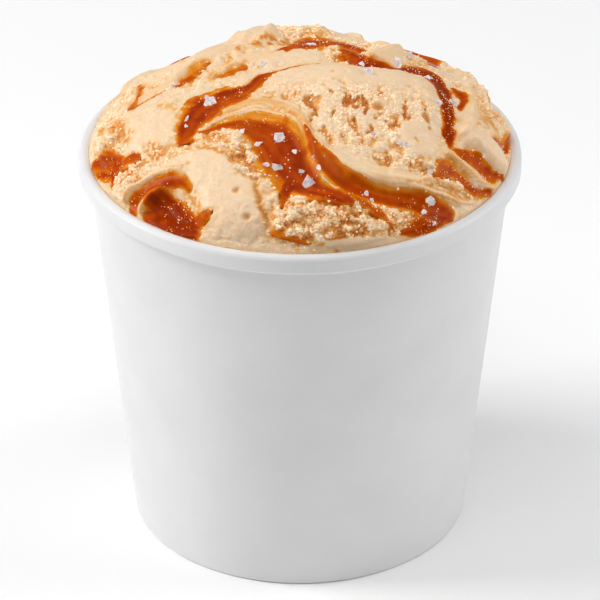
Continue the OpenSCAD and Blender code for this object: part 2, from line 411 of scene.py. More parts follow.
HOLLOWS = {
    # the same, with a depth in place of the height
    "back left": (-26, 30, 15, 9, 25, 1.7),
    "back right of the top": (8, 41, 9, 8, 0, 3.2),
    "right shoulder": (46, 11, 4, 4, 0, 0.5),
    "curl bowl": (-30.3, -39, 7, 6.5, 0, 2.2),
    "swoop valley": (-4.5, -28.5, 11, 5, -58, 0.9),
    "lower swoop valley": (20, -38.2, 14, 3.5, 0, 0.6),
    "left pocket": (-47, -16, 8, 4.5, 25, 1.3),
    "right valley": (33, -5, 13, 3.4, 88, 1.1),
    "back right": (23, 31, 9, 7, -25, 1.5),
}
SETTLED = 0.6  # the whole heap is this much lower than the bare dome, in millimetres
HEIGHT = np.zeros(len(U))
for u, v, length, width, turn, height in LOBES.values():
    HEIGHT = np.maximum(HEIGHT, height * spot(u, v, length, width, turn, 0.45))
for u, v, length, width, turn, height in HOLLOWS.values():
    HEIGHT -= height * spot(u, v, length, width, turn, 0.5)
HEIGHT += 0.3 * grain(16, 3.1) + 0.22 * grain(7, 4.2) - SETTLED
print(len(LOBES), "lobes and", len(HOLLOWS), "hollows, from", round(float(HEIGHT.min()), 1), "to",
      round(float(HEIGHT.max()), 1), "mm")

# %% Folds: smooth ridges with streaks of caramel worked into them
FOLDS = [
    # (height, streaks from 0 to 1, line), in millimetres on the map
    (1.3, 0.2, [(1, -22, 0.6), (3, -26, 1.4), (5.5, -29.5, 2.4), (10, -32.3, 2.8),
        (15, -33.8, 2.6), (20, -34, 2.4), (26, -33, 2), (31, -31, 1.2)]),
    (0.8, 0.55, [(2.2, -25.5, 0.5), (3.2, -30, 1), (4.5, -34, 1.3), (7, -37, 1.5),
        (10, -39.8, 1.4), (13, -41.5, 0.8)]),
    (0.6, 0.32, [(-19, -15.5, 0.6), (-16, -12.8, 1.3), (-12, -11.8, 1.8), (-7, -12.6, 2),
        (-3, -15, 1.9), (0.3, -19, 1.6), (2, -24, 0.8)]),
    (0.8, 0.1, [(-36, 0.5, 0.8), (-29, 4.5, 1.3), (-22, 10, 1.6), (-16, 15.5, 1.5), (-12, 20, 1)]),
    (0.7, 0.1, [(-33, 9, 0.7), (-26, 13.5, 1.3), (-19, 19.5, 1.4), (-14, 25, 0.8)]),
    (0.6, 0.1, [(-20, 1.5, 0.6), (-14, 7.5, 1.2), (-8, 11, 1.4), (-4, 11.8, 0.8)]),
    (0.45, 0.6, [(-20, -17.4, 0.5), (-16, -15.7, 1), (-11, -15.2, 1.3), (-6.5, -16.4, 1.4),
        (-3, -19, 1.8), (-0.8, -23, 1.4), (0.5, -28, 0.7)]),
    (1.7, 0.2, [(-40, -40, 0.7), (-39.6, -36.6, 1), (-38, -34, 1.1), (-35.4, -32.4, 1),
        (-32.6, -31.9, 0.8)]),
    (0.8, 0.5, [(-44, -32, 0.7), (-40.5, -29, 0.9), (-36, -27.8, 0.9), (-31, -28, 0.9),
        (-26.5, -29.6, 0.8)]),
    (1.1, 0.35, [(33, -22, 0.8), (37, -22.7, 1.4), (42, -23.6, 1.6), (47, -23.8, 1.5),
        (52, -23, 1)]),
    (0.8, 0.45, [(28, -31.3, 0.7), (33, -30.2, 1), (39, -29.6, 1.1), (45, -28.5, 0.9)]),
    (0.7, 0.5, [(25, -34.5, 0.6), (31, -33.9, 0.9), (38, -33, 1), (44, -31.2, 0.8)]),
    (0.8, 0.08, [(-14, 13, 0.8), (-10, 16, 1.4), (-7.5, 20, 1.6), (-6.5, 24, 1.2)]),
    (0.9, 0.1, [(15.5, 8.3, 0.8), (17.5, 11, 1.7), (20, 15, 1.9), (22, 18, 1.2)]),
    (0.8, 0.12, [(36, -14, 0.8), (38.2, -8, 1.2), (39, -1, 1.4), (38.5, 5, 1.2), (40, 12, 0.8)]),
    (0.9, 0.15, [(-22, 32, 0.8), (-13, 35, 1.6), (-3, 37, 1.8), (7, 35, 1.5), (14, 30, 1)]),
    (0.9, 0.25, [(-50, 10, 0.7), (-46, 20, 1.4), (-38, 31, 1.7), (-28, 40, 1)]),
    (0.9, 0.25, [(-12, 48, 0.8), (0, 46, 1.5), (14, 43, 1.8), (26, 36, 1.4), (34, 27, 0.9)]),
]
print(len(FOLDS), "folds")

# %% Raise the folds and streak them
FOLD_REACH = 6
STREAK = np.zeros(len(U))
SMOOTHED = np.zeros(len(U))
for number, (height, streaks, line) in enumerate(FOLDS):
    which, away, half, along, across = near(line, FOLD_REACH)
    top = 1 - ease((away / half - 0.1) / 1.25)
    HEIGHT[which] += height * top
    SMOOTHED[which] = np.maximum(SMOOTHED[which], ease(1.9 - away / half))
    bands = grain(0.5, 40 + number, across + 0.35 * WAVER_U[which], along * 0.03)
    bands += 0.35 * grain(1.5, 60 + number, across, along * 0.05)
    streaked = streaks * ease(0.2 + 1.5 * bands) * ease(2.1 - away / half)
    STREAK[which] = np.maximum(STREAK[which], streaked)
print("the highest point is now", round(float(HEIGHT.max()), 2), "mm over the dome")

# %% [markdown]
# ## Ribbons of caramel
# Caramel is softer than ice cream, so it settles in troughs. Each ribbon is a trough cut along a
# line, and the caramel is a separate glossy piece whose surface is set at a level inside it. Where
# rough ice cream stands above that level it pokes through, which gives the torn edges for free. A
# painted stripe on one surface would have neither the gloss nor the thickness.

# %% Ribbons
RIBBONS = {
    # name: (depth, share of the depth left empty, raggedness, line)
    "main swoop": (1.7, 0.3, 0.4, [(-22, -19.4, 0.7), (-17.5, -18.7, 1.0), (-13.5, -19, 1.7),
        (-10, -20.7, 3), (-7, -23, 4.1), (-5, -26.4, 4.9), (-3.6, -29.8, 4.9),
        (-1.8, -33.4, 4.4), (0.6, -36.6, 3.8), (3.4, -39.1, 2.6), (7.5, -40.7, 1.7),
        (11, -41.8, 1)]),
    "swoop's thin edge": (0.32, 0.4, 0.5, [(-18, -17.4, 0.5), (-13, -16.9, 1.2),
        (-8, -18.2, 1.8), (-3.4, -21.4, 2), (-0.8, -25, 1.5), (0.6, -28.6, 0.8)]),
    "lower swoop": (1.6, 0.32, 0.3, [(1.0, -21.8, 0.4), (2.4, -26, 1.1), (4.3, -30, 1.7),
        (7.3, -33.8, 2.2), (11.5, -36.6, 2.4), (16.5, -38, 2.4), (21.5, -38.1, 2.4),
        (26, -37.6, 2.6), (31, -38.2, 3.2), (36, -38.3, 3)]),
    "front pool": (1.5, 0.3, 0.6, [(36.5, -37.5, 2), (33.5, -41, 3), (29, -44.6, 2.6),
        (25.5, -46.6, 1)]),
    "lower branch": (1.0, 0.35, 0.6, [(9, -39.2, 0.6), (13, -41, 1.1), (16, -42.3, 1.2),
        (19.5, -44.3, 0.8), (22, -46, 0.5)]),
    "upper left pool": (1.6, 0.3, 0.8, [(-25, -18.8, 1.8), (-24.2, -15.5, 2.9),
        (-21.8, -11.5, 3.9), (-18, -8.4, 3.9), (-14, -7.2, 3.1), (-11, -4.8, 1.9),
        (-8.6, -1.2, 1.1), (-5.8, 1, 0.7), (-1.5, 2.5, 0.45), (4.5, 3.4, 0.25)]),
    "left streak": (0.8, 0.4, 1.1, [(-38, -2.2, 0.5), (-33, -0.6, 0.5), (-28.6, 1.6, 0.8),
        (-25, 4.6, 1.7), (-22.2, 7.2, 1.8), (-20.6, 8.6, 0.8)]),
    "left hook": (0.8, 0.45, 1.2, [(-38.5, -1.6, 0.9), (-37.2, 2, 1), (-36.4, 7, 1),
        (-37.3, 12, 0.9)]),
    "left dot": (0.8, 0.3, 0.8, [(-27, 15, 1), (-25.5, 17, 1.1)]),
    "high ribbon": (1.4, 0.35, 1.1, [(-5.5, 12.5, 0.8), (-2.5, 14.8, 1.9), (0.8, 17.2, 3),
        (4.5, 19, 3.6), (8.6, 18.8, 3.3), (12, 16.6, 2.3), (15, 14.2, 1.2)]),
    "high link": (1.2, 0.35, 1.1, [(9.4, 14.4, 1.6), (11.5, 11.6, 2.6), (12.8, 8.2, 2.3),
        (12.6, 5, 1.4)]),
    "right ribbon": (2.3, 0.28, 0.7, [(10, 3.6, 0.5), (13, 4.5, 1.5), (16, 6.1, 2),
        (19.5, 7, 1.7), (22.6, 7.4, 1.4), (26, 9, 2.8), (29, 8.2, 2.8), (31.4, 4.8, 2.3),
        (32.8, 0.5, 1.8), (33.3, -4, 1.4), (33.5, -9, 1.5), (33.7, -14, 1.4), (33.8, -18, 0.9)]),
    "right crevice": (1.7, 0.35, 0.9, [(35.3, 7, 0.8), (36.8, 4.5, 1), (37.2, 1, 0.8),
        (36.2, -3, 0.6)]),
    "finger gap": (1.4, 0.35, 0.9, [(35.4, -19.2, 1), (39, -19.5, 1.9), (43.5, -19.9, 2.2),
        (48, -19.4, 2), (52, -17.6, 1.2)]),
    "low wedge": (1.1, 0.35, 0.9, [(32.2, -28, 1.2), (33.8, -25.4, 2.3), (38, -26.6, 1.9),
        (43, -27.2, 1.6), (48.5, -25.6, 1.2)]),
    "right edge": (1.6, 0.4, 0.8, [(46, -8.4, 0.9), (49.5, -5.6, 1.8), (52.5, -2, 2),
        (54, 4, 1.5)]),
    "left pocket": (1.3, 0.35, 0.9, [(-37.6, -20, 0.9), (-41, -19, 2), (-45, -18, 3.3),
        (-49, -15.5, 4), (-52.4, -12, 3.4)]),
    "left drop": (1.9, 0.45, 0.4, [(-48.5, -17.5, 1.2), (-47.8, -21, 1.2), (-46.3, -24.4, 0.9)]),
    "curl bowl": (2.4, 0.35, 0.35, [(-34.2, -34.8, 3.2), (-33.8, -38, 6.2), (-32.6, -41.8, 6.4),
        (-29.2, -45.6, 4.8)]),
    "curl outer": (1.3, 0.35, 0.5, [(-43.2, -36, 1.2), (-41.6, -33, 1.4), (-38.6, -30.8, 1.3),
        (-34.5, -30, 1.2), (-30.5, -30.2, 1.3), (-27.2, -31.8, 1.4), (-25.2, -34.6, 1)]),
    "curl spill": (0.9, 0.35, 1.4, [(-26, -44.4, 1.4), (-23, -43.4, 1.1), (-20.4, -42.4, 0.6)]),
    "mound seam": (0.6, 1.0, 0.8, [(-9.8, -35.5, 0.5), (-9.2, -40, 0.6), (-8, -45, 0.7),
        (-6.6, -48.6, 0.9)]),
    "front seep": (0.7, 0.45, 0.8, [(-6.4, -49.4, 0.7), (-3, -50.6, 0.8), (2, -52.6, 0.6)]),
    "centre crevice": (2.4, 0.5, 1.3, [(-2.2, -37, 0.9), (-3.2, -40, 0.9), (-4.2, -43.6, 0.6)]),
    "hollow": (0.7, 0.55, 1.1, [(-17, 2, 1.3), (-14.6, 3.6, 1.3), (-12.8, 5.6, 0.8)]),
    "back swoop": (1.7, 0.3, 0.5, [(-35, 35, 0.8), (-27, 41.5, 1.9), (-16, 46, 3.1),
        (-5, 48.5, 3.6), (6, 47.5, 2.8), (14, 43.5, 1.4)]),
    "back ribbon": (1.6, 0.3, 0.5, [(12, 51, 0.9), (20, 46.5, 2.2), (27, 39, 2.8), (31, 30, 2.2),
        (31.5, 22, 1.4), (30, 16, 0.8)]),
    "back left ribbon": (1.7, 0.3, 0.55, [(-52, 14, 0.8), (-49, 22, 2.2), (-43, 31, 2.6),
        (-37, 38, 2), (-31, 45, 0.9)]),
}
print(len(RIBBONS), "ribbons")

# %% Cut the troughs and set the caramel's level in them
RIBBON_REACH = 9
HIDDEN = -9.0  # the caramel's level where there is none
DIP, DIP_FROM = 2.2, 1.25  # past its border the caramel dips under the ice cream
LEVEL = np.full(len(U), HIDDEN)
TROUGH = np.zeros(len(U))
HALO = np.zeros(len(U))
FLOW = np.zeros(len(U))
RAGGED = np.zeros(len(U))
LIE = HEIGHT.copy()
SPREAD = ease(0.25 + 0.8 * grain(6, 31.7))
for number, (depth, empty, ragged, line) in enumerate(RIBBONS.values()):
    which, away, half, along, across = near(line, RIBBON_REACH)
    away = away + ragged * 0.55 * WAVER_U[which] * np.minimum(half, 1.6)
    past = away / half
    fullness = np.minimum(1, 0.45 + half / 2.2)
    cut = depth * (1 - ease((past - 0.5) / 0.9)) * fullness
    deeper = cut > TROUGH[which]
    TROUGH[which] = np.maximum(TROUGH[which], cut)
    RAGGED[which] = np.where(deeper, ragged, RAGGED[which])
    swirl = grain(2.2, 80 + number, across, along * 0.12)
    swirl = swirl + 0.6 * grain(0.9, 90 + number, across, along * 0.06)
    FLOW[which] = np.where(deeper, swirl, FLOW[which])
    sunk = -depth * (empty - 0.12) * fullness + 0.12 * swirl
    sunk -= DIP * ease((past - DIP_FROM) / 0.6)
    sunk = np.where((past < 1.9) & (empty < 1), sunk, HIDDEN)
    level = np.where(sunk > HIDDEN, LIE[which] + sunk, HIDDEN)
    LEVEL[which] = np.maximum(LEVEL[which], level)
    reach = 0.15 + 1.1 * SPREAD[which]
    halo = np.exp(-np.maximum(away - half, 0) / reach) * np.minimum(1, half)
    HALO[which] = np.maximum(HALO[which], halo)
HEIGHT -= TROUGH
print("the deepest trough is", round(float(TROUGH.max()), 2), "mm")

# %% [markdown]
# ## Torn faces, crumbs and pores
# Ice cream that is scooped hard tears instead of sliding: the torn faces are crumbly, with pits
# drawn out the way the scoop moved. Where the back of the scoop pressed, the surface is smeared
# smooth, with only a few pores. So the fine relief gets its own strength, painted on the map.

# %% How rough each part of the surface is
ROUGH_SPOTS = [
    # (u, v, length, width, turn, roughness), later ones over earlier ones
    (0, 22, 30, 12, 0, 0.72), (-26, 12, 20, 9, 25, 0.62), (-44, -5, 8, 10, 20, 0.9),
    (42, 5, 8, 17, 0, 0.55), (-32, -9, 9, 9, 0, 0.3), (12, 0.5, 22, 5.5, 4, 0.14),
    (13, -15, 19, 7.5, 0, 0.8), (15, -25.5, 14, 4, -10, 0.85), (26.5, -20, 5, 4.5, 60, 0.16),
    (-19, -36, 14, 8.5, -62, 0.16), (-24, -22.5, 17, 2.8, 6, 0.8), (-13, -29, 8, 2.6, -62, 0.9),
    (-40, -24, 6, 3, -35, 0.9), (-4, -40, 7, 3.4, 80, 1.0), (7, -45.5, 14, 5.5, 4, 1.1),
    (19, -44, 7, 3.5, -30, 1.0), (27, -43, 5, 4, -40, 1.0), (15, -51.5, 12, 2, 8, 0.2),
    (36, -29, 8, 2.4, 5, 1.0), (44, -13, 9, 3.5, -6, 0.15), (-1.5, 8.8, 9, 3.4, 4, 0.12),
    (8.5, 9, 3.4, 4, 0, 0.9), (-9.5, 23, 5, 5, 10, 0.2), (1, 24, 6, 4, 0, 0.9),
    (-33, 22, 12, 8, 30, 0.45), (20, 28, 12, 8, -30, 0.45), (19, 13, 7, 2.6, 55, 0.15),
]
ROUGH = np.full(len(U), 0.5)
for u, v, length, width, turn, rough in ROUGH_SPOTS:
    mask = spot(u, v, length, width, turn, 0.35)
    ROUGH += (rough - ROUGH) * mask
ROUGH *= 1 + 0.35 * grain(6, 5.5)
ROUGH *= 1 - 0.75 * SMOOTHED * (1 - spot(36, -29, 9, 3, 5, 0.5))
# in a trough the roughness of the ribbon's edge holds instead
bed = np.minimum(1, TROUGH / 0.8)
ROUGH = ROUGH * (1 - bed) + (0.25 + 0.5 * RAGGED) * bed * 0.7
print(round(100 * float((ROUGH > 0.5).mean())), "% of the surface is torn or crumbly")

# %% Relief of the torn faces
coarse = lumps(3.6, 1.7)
medium = lumps(1.7, 2.9)
TORN = spot(13, -14.5, 20, 8.5, 0, 0.3)
LUMPY = ROUGH * (1 - 0.55 * TORN)
RELIEF = LUMPY * (0.75 * (coarse - 0.6) + 0.45 * (medium - 0.6)
                  + 0.55 * grain(2.6, 6.1) + 0.3 * grain(1.1, 6.9))
RELIEF += 0.2 * ROUGH * grain(0.62, 7.9) + 0.03 * grain(1.3, 7.4)

drawn_out = grain(2.1, 8.8, U + 0.5 * WAVER_U, V * 0.42) + 0.55 * grain(0.9, 9.3, U, V * 0.6)
PITS = TORN * ease((drawn_out - 0.3) * 3)
RELIEF -= PITS * (0.75 + 0.45 * grain(0.9, 9.9))
print(int((PITS > 0.5).sum()), "points lie in pits")

# %% Pores
FINE_PORES = 60
pore_random = random.Random(5)
PORES = [(-14, -38.5, 0.6), (-12, -45, 0.7), (-27.5, -28.5, 0.45), (-24.5, -28.7, 0.45),
         (-9.5, -42, 0.4), (3, -12.5, 1.3), (17, -13, 0.9), (21, -15, 0.8), (7.5, -1.5, 0.4),
         (15.5, 2, 0.35), (24, -2.5, 0.5)]
PORES += [(pore_random.uniform(-36, 34), pore_random.uniform(-48, 10), pore_random.uniform(0.14, 0.3))
          for _ in range(FINE_PORES)]
PORE = np.zeros(len(U))
for u, v, size in PORES:
    PORE = np.maximum(PORE, spot(u, v, size * 1.25, size, 20, 0.6) * min(1, size + 0.3))
RELIEF -= 0.75 * PORE
HEIGHT += RELIEF
print("fine relief from", round(float(RELIEF.min()), 2), "to", round(float(RELIEF.max()), 2), "mm,",
      len(PORES), "pores")

# %% [markdown]
# ## Colour worked out with the form
# The same lines that shape the heap also say where caramel has been worked into the ice cream: a
# halo beside each ribbon, streaks along the folds, and the pits and seams of the torn faces, which
# show the darker, wetter mix inside. The amber in the hollows of rough parts and under their
# granules is partly that mix and partly painted shade, and rough parts are painted a step paler as
# painted light. It is kept as one number per point, which the material reads.

# %% Stain
STAIN_LINES = [
    # (strength from 0 to 1, line)
    (0.65, [(-42, -25.5, 0.5), (-36, -22.6, 0.6), (-30, -21.4, 0.8), (-24, -21.6, 0.7),
        (-18, -23, 0.6), (-14, -26.5, 0.6), (-12, -31, 0.5)]),
    (0.6, [(-25.5, -24.5, 0.5), (-20.5, -25.6, 0.6), (-16.5, -28.5, 0.6), (-14.5, -32, 0.5)]),
    (0.6, [(-9.6, -36, 0.5), (-9, -41, 0.6), (-7.6, -46.5, 0.6)]),
    (0.6, [(-13, -27, 0.5), (-15.5, -30.5, 0.5), (-14, -33.5, 0.4)]),
    (0.69, [(-43, -4, 1.6), (-41.5, -8.5, 2.2), (-39.5, -12, 1.6)]),
    (0.6, [(-47.5, -1, 1.2), (-47, -4, 1.3)]),
    (0.69, [(-34, -19, 1.3), (-31, -22.5, 1.4)]),
    (0.75, [(-14, 13, 0.8), (-11, 15.5, 1.4), (-7, 17.5, 1.4), (-3, 18.5, 0.8)]),
    (0.62, [(-20, -18, 0.5), (-15, -17.2, 0.9), (-9.5, -17.9, 1.3), (-4.5, -20, 1.5),
        (-1, -23.5, 1.5), (1.2, -28.5, 1.1), (3.6, -33, 0.8)]),
    (0.55, [(-17, -14.6, 0.3), (-12, -13.6, 0.4), (-7, -14.4, 0.5), (-2.6, -16.8, 0.6),
        (1, -20.6, 0.6)]),
    (0.5, [(25.5, 11.5, 1.4), (28.5, 16, 1.8), (30, 20, 1)]),
    (0.55, [(0, 20, 1.5), (6, 22, 1.6), (11, 20, 1)]),
    (0.6, [(24, -33.6, 0.6), (31, -32.2, 0.9), (39, -31.4, 0.8), (45, -29.5, 0.6)]),
    (0.5, [(46.5, -6.5, 1.5), (44, -2, 1.6), (47, 4, 1.8)]),
    (0.95, [(26.5, -45, 1.6), (28.2, -42, 2.2), (30.5, -43.5, 1.6)]),
    (0.6, [(33.5, -31.5, 0.6), (38, -31, 0.9), (42, -30, 0.7)]),
    (0.6, [(-12, -24.5, 0.8), (-13.5, -27, 1.1), (-15, -29.4, 0.9)]),
    (0.6, [(33.4, -23.6, 0.6), (36, -23.9, 0.7), (40, -24.7, 0.6)]),
    (0.6, [(-4.5, -47, 0.8), (-6.5, -50, 1.2), (-1, -51.5, 0.9), (5, -52.6, 0.8)]),
    (0.5, [(-20, 2, 1.4), (-15, 4, 1.8), (-12.5, 6.5, 1)]),
    (0.5, [(-8, -10, 0.7), (-3, -11.5, 0.9), (0, -9.5, 0.6)]),
    (0.4, [(-31, -6, 0.7), (-27.5, -9, 1.0), (-27, -13, 0.8)]),
    (0.42, [(41, 9, 2), (43.5, 2, 3), (42, -6, 2.2)]),
    (0.72, [(-38, -43, 1.2), (-38.2, -39, 1.5), (-37, -36, 1.5), (-34, -34, 1.2), (-30, -32.6, 1)]),
    (0.5, [(-27, -32.5, 1.1), (-24.8, -36, 1.5), (-24, -40, 1.5), (-23.5, -43, 1.2)]),
]
print(len(STAIN_LINES), "lines of stain")

# %% One number of stain per point
PLAIN = 0.1  # painted light: torn, rough parts are painted a step paler than smooth ice cream
WARM = grain(8, 13.1)
FINE = grain(0.8, 25.5)
# partly caramel mix, partly painted shade: amber under the granules of rough parts and in their
# hollows, where shade falls
hollows = ease((-0.16 - RELIEF) * 2.2) * ease(ROUGH * 2.2 - 0.5)
STAIN = 0.12 * ease((ROUGH - 0.45) * 2.5) * (1 + 0.8 * grain(1.6, 16.6))
STAIN += hollows * (0.42 + 0.3 * WARM)
STAIN = np.maximum(STAIN, PITS * (0.72 + 0.2 * grain(1.2, 14.4)))
STAIN = np.maximum(STAIN, 0.3 * PORE)
STAIN = np.maximum(STAIN, STREAK)
STAIN = np.maximum(STAIN, HALO * (0.5 + 0.3 * grain(3.2, 15.2)) - 0.3 * ease(RELIEF * 3))
for strength, line in STAIN_LINES:
    which, away, half, _, _ = near(line, FOLD_REACH)
    away = away + 0.5 * WAVER_V[which]
    mark = strength * (1 - ease((away / half - 0.3) / 1.6)) * ease(0.75 + 1.1 * FINE[which])
    # weak stain stays in the seams, strong stain covers the crests too
    mark = mark - 0.4 * ease(0.2 + RELIEF[which] * 2.5) * (strength < 0.7)
    STAIN[which] = np.maximum(STAIN[which], mark)
# painted light: rough parts lose up to PLAIN of their stain, down to the paler first stop of the ramp
STAIN = np.clip(PLAIN + (1 - PLAIN) * STAIN - PLAIN * ease((ROUGH - 0.3) * 2), 0, 1)
print("mean stain", round(float(STAIN.mean()), 2))

# %% [markdown]
# ## The heap and the caramel as two closed pieces
# The height is now laid on the dome. Towards the edge it fades out, and the edge is lifted and
# pressed outwards a little, as ice cream is when a tub is filled and levelled: it touches the board
# all round and leaves no dark gap. The caramel starts as a copy of the same points, set at its own
# level, and keeps only what shows with a narrow border that runs under the ice cream. It is then
# given a thickness, so that it is a body of its own.

# %% The heap takes its form
EDGE_FADE = 16  # the relief fades over one part in this many of the map
BRIM_SHARE = 0.1
BRIM_RISE, BRIM_PRESS = 1.2, 0.32  # how far the edge is lifted and pressed out, in millimetres
fade = ease((1 - SHARE) * EDGE_FADE)
brim = ease((SHARE - (1 - BRIM_SHARE)) / BRIM_SHARE) * MM
POINT[:, 2] += (BRIM_RISE + 0.25 * grain(9, 19.3)) * brim
POINT[:, :2] += WAY * (BRIM_PRESS * brim)[:, None]
CREAM = POINT + OUT * (HEIGHT * fade * MM)[:, None]
SURFACE = POINT + OUT * (LEVEL * fade * MM)[:, None]
for vert, place in zip(heap_bm.verts, CREAM.tolist()):
    vert.co = place
print("the heap's top is now at", round(float(CREAM[:, 2].max()) / MM, 1), "mm")

# %% The caramel: the same points at the caramel's level, kept where it shows
SHOWS = LEVEL - HEIGHT  # the depth of the caramel over the ice cream, in millimetres
BURIED = -0.7
CARAMEL_THICK = 0.7 * MM
SMOOTHINGS = 2
caramel_bm = heap_bm.copy()
caramel_bm.verts.ensure_lookup_table()
depth_layer = caramel_bm.verts.layers.float.new("depth")
flow_layer = caramel_bm.verts.layers.float.new("flow")
for vert, place, depth, flow in zip(caramel_bm.verts, SURFACE.tolist(), SHOWS.tolist(), FLOW.tolist()):
    vert.co = place
    vert[depth_layer] = depth
    vert[flow_layer] = flow
hidden = [v for v, depth in zip(caramel_bm.verts, SHOWS.tolist()) if depth < BURIED]
bmesh.ops.delete(caramel_bm, geom=hidden, context="VERTS")
loose = [v for v in caramel_bm.verts if not v.link_faces]
bmesh.ops.delete(caramel_bm, geom=loose, context="VERTS")
for _ in range(SMOOTHINGS):
    bmesh.ops.smooth_vert(caramel_bm, verts=caramel_bm.verts, factor=0.5,
                          use_axis_x=True, use_axis_y=True, use_axis_z=True)
print("caramel", len(caramel_bm.faces), "faces before its thickness")
bmesh.ops.solidify(caramel_bm, geom=caramel_bm.faces[:], thickness=CARAMEL_THICK)
caramel = new_object("caramel_ribbons", caramel_bm)

# %% The ice cream: its colour numbers, then the sides and foot inside the tub
stain_layer = heap_bm.verts.layers.float.new("stain")
rough_layer = heap_bm.verts.layers.float.new("rough")
for vert, stain, rough in zip(heap_bm.verts, STAIN.tolist(), ROUGH.tolist()):
    vert[stain_layer] = stain
    vert[rough_layer] = rough
BOARD_AND_GAP = 0.65 * MM
SIDE_GAP = 0.03 * MM
FOOT_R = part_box("base_disc")[1][0] - BOARD_AND_GAP
SKIRT_R = HEAP_R - SIDE_GAP
for radius, height in ((SKIRT_R, HEAP_EDGE_Z), (FOOT_R, cream_low[2])):
    edge = [e for e in heap_bm.edges if e.is_boundary]
    skirt = bmesh.ops.extrude_edge_only(heap_bm, edges=edge)
    for vert in [g for g in skirt["geom"] if isinstance(g, bmesh.types.BMVert)]:
        out = vert.co.xy.normalized() * radius
        vert.co = (out.x, out.y, height)
rim = [e for e in heap_bm.edges if e.is_boundary]
bmesh.ops.edgeloop_fill(heap_bm, edges=rim)
bmesh.ops.recalc_face_normals(heap_bm, faces=heap_bm.faces[:])
cream = new_object("ice_cream_heap", heap_bm)
for piece in (cream, caramel):
    piece.data.polygons.foreach_set("use_smooth", [True] * len(piece.data.polygons))
    print(piece.name, len(piece.data.polygons), "faces")

# %% [markdown]
# ## Granules, crumbs and specks
# A torn face of ice cream is a crowd of frozen granules. Noise on one surface rounds them off, as
# it can't undercut. So thousands of small pebbles are half sunk in the rough parts: a few kinds of
# uneven icosphere, each copy turned and stretched its own way, joined into one mesh per kind of
# thing. They take their colour number from the point of the heap that they sit on.

# %% Where loose things lie
def lie_at(u, v):
    """The surface at a place on the map: its point and its outward direction."""
    nearest = int(np.argmin((U - u) ** 2 + (V - v) ** 2))
    top = CREAM[nearest] if SHOWS[nearest] < 0 else SURFACE[nearest]
    return Vector(top), Vector(OUT[nearest])


def turned(out, spin, lean, lean_way):
    """A turn that stands local Z along out, with a spin about it and a lean."""
    base = out.to_track_quat("Z", "Y").to_matrix().to_4x4()
    leant = base @ Matrix.Rotation(lean_way, 4, "Z") @ Matrix.Rotation(lean, 4, "X")
    return leant @ Matrix.Rotation(spin, 4, "Z")


print("the surface over the axis is at", round(lie_at(0, 0)[0].z / MM, 1), "mm")

# %% Many small things from one small shape
PEBBLE_KINDS = 4
SCATTER = 0.1 * MM
INSIDE_RIM = 0.97  # loose things stay within this part of the map
noise.seed_set(4)  # without a seed, vector noise differs from run to run


def rough_pebble(seed, uneven):
    """A small icosphere of radius 1, pushed about by noise: its points and its triangles."""
    bm = bmesh.new()
    bmesh.ops.create_icosphere(bm, subdivisions=1, radius=1.0)
    for vert in bm.verts:
        vert.co += noise.noise_vector(vert.co * 1.3 + Vector((seed, 0, 0))) * uneven
    points = np.array([v.co[:] for v in bm.verts])
    faces = np.array([[v.index for v in f.verts] for f in bm.faces])
    bm.free()
    return points, faces


def strewn(name, which, radii, sunk, seed, uneven=0.5):
    """A pebble at each of the given points of the heap, each turned and stretched its own way.
    Also tells, for each point of the new mesh, which point of the heap it sits on."""
    draw = np.random.default_rng(seed)
    turns = np.linalg.qr(draw.normal(size=(len(which), 3, 3)))[0]
    turns[np.linalg.det(turns) < 0, :, 0] *= -1
    stretch = draw.uniform(0.75, 1.3, size=(len(which), 1, 3))
    shift = draw.normal(size=(len(which), 3)) * SCATTER
    top = np.where((SHOWS[which] > 0)[:, None], SURFACE[which], CREAM[which])
    middle = top + shift - OUT[which] * (radii * sunk)[:, None]
    kinds = np.arange(len(which)) % PEBBLE_KINDS
    all_points, all_faces, all_origins, first = [], [], [], 0
    for kind in range(PEBBLE_KINDS):
        points, faces = rough_pebble(seed + 3.7 * kind, uneven)
        mine = kinds == kind
        placed = (points[None] * stretch[mine]) @ np.transpose(turns[mine], (0, 2, 1))
        placed = placed * radii[mine][:, None, None] + middle[mine][:, None, :]
        all_points.append(placed.reshape(-1, 3))
        starts = first + len(points) * np.arange(mine.sum())
        all_faces.append((faces[None] + starts[:, None, None]).reshape(-1, 3))
        all_origins.append(np.repeat(which[mine], len(points)))
        first += len(all_points[-1])
    mesh = bpy.data.meshes.new(name)
    mesh.from_pydata(np.vstack(all_points).tolist(), [], np.vstack(all_faces).tolist())
    mesh.polygons.foreach_set("use_smooth", [True] * len(mesh.polygons))
    piece = bpy.data.objects.new(name, mesh)
    bpy.context.scene.collection.objects.link(piece)
    print(name, len(which), "pieces,", len(mesh.polygons), "faces")
    return piece, np.concatenate(all_origins)


def keep_number(piece, name, values):
    """One number per point of a piece, for its finish to read."""
    layer = piece.data.attributes.new(name, "FLOAT", "POINT")
    layer.data.foreach_set("value", values)


print("a pebble has", len(rough_pebble(1.0, 0.5)[1]), "faces")

# %% Granules that make up the torn faces
MOST_GRANULES = 9900
GRANULE_SUNK = 0.55
granule_random = np.random.default_rng(11)
want = np.clip((ROUGH - 0.42) * 1.8, 0, 0.75) * (SHOWS < 0.1) * (SHARE < 0.985) * (1 - 0.75 * PITS)
want *= ease(0.62 + 0.6 * grain(2.4, 17.7))
# frost on the brink of the caramel
brink = (SHOWS > -0.12) * (SHOWS < 0.1) * (TROUGH > 0.15) * (SHARE < INSIDE_RIM)
FROSTED = brink * ease(0.35 + 0.5 * RAGGED + 0.8 * grain(2, 27.7))
want = np.maximum(want, 0.5 * FROSTED)
which = np.flatnonzero(granule_random.random(len(U)) < want)
which = granule_random.permutation(which)[:MOST_GRANULES]
radii = (0.15 + 0.25 * granule_random.random(len(which)) ** 1.8) * MM
radii = radii * (0.75 + 0.35 * ROUGH[which])
granules, origin = strewn("ice_cream_granules", which, radii, GRANULE_SUNK, 21, 0.7)
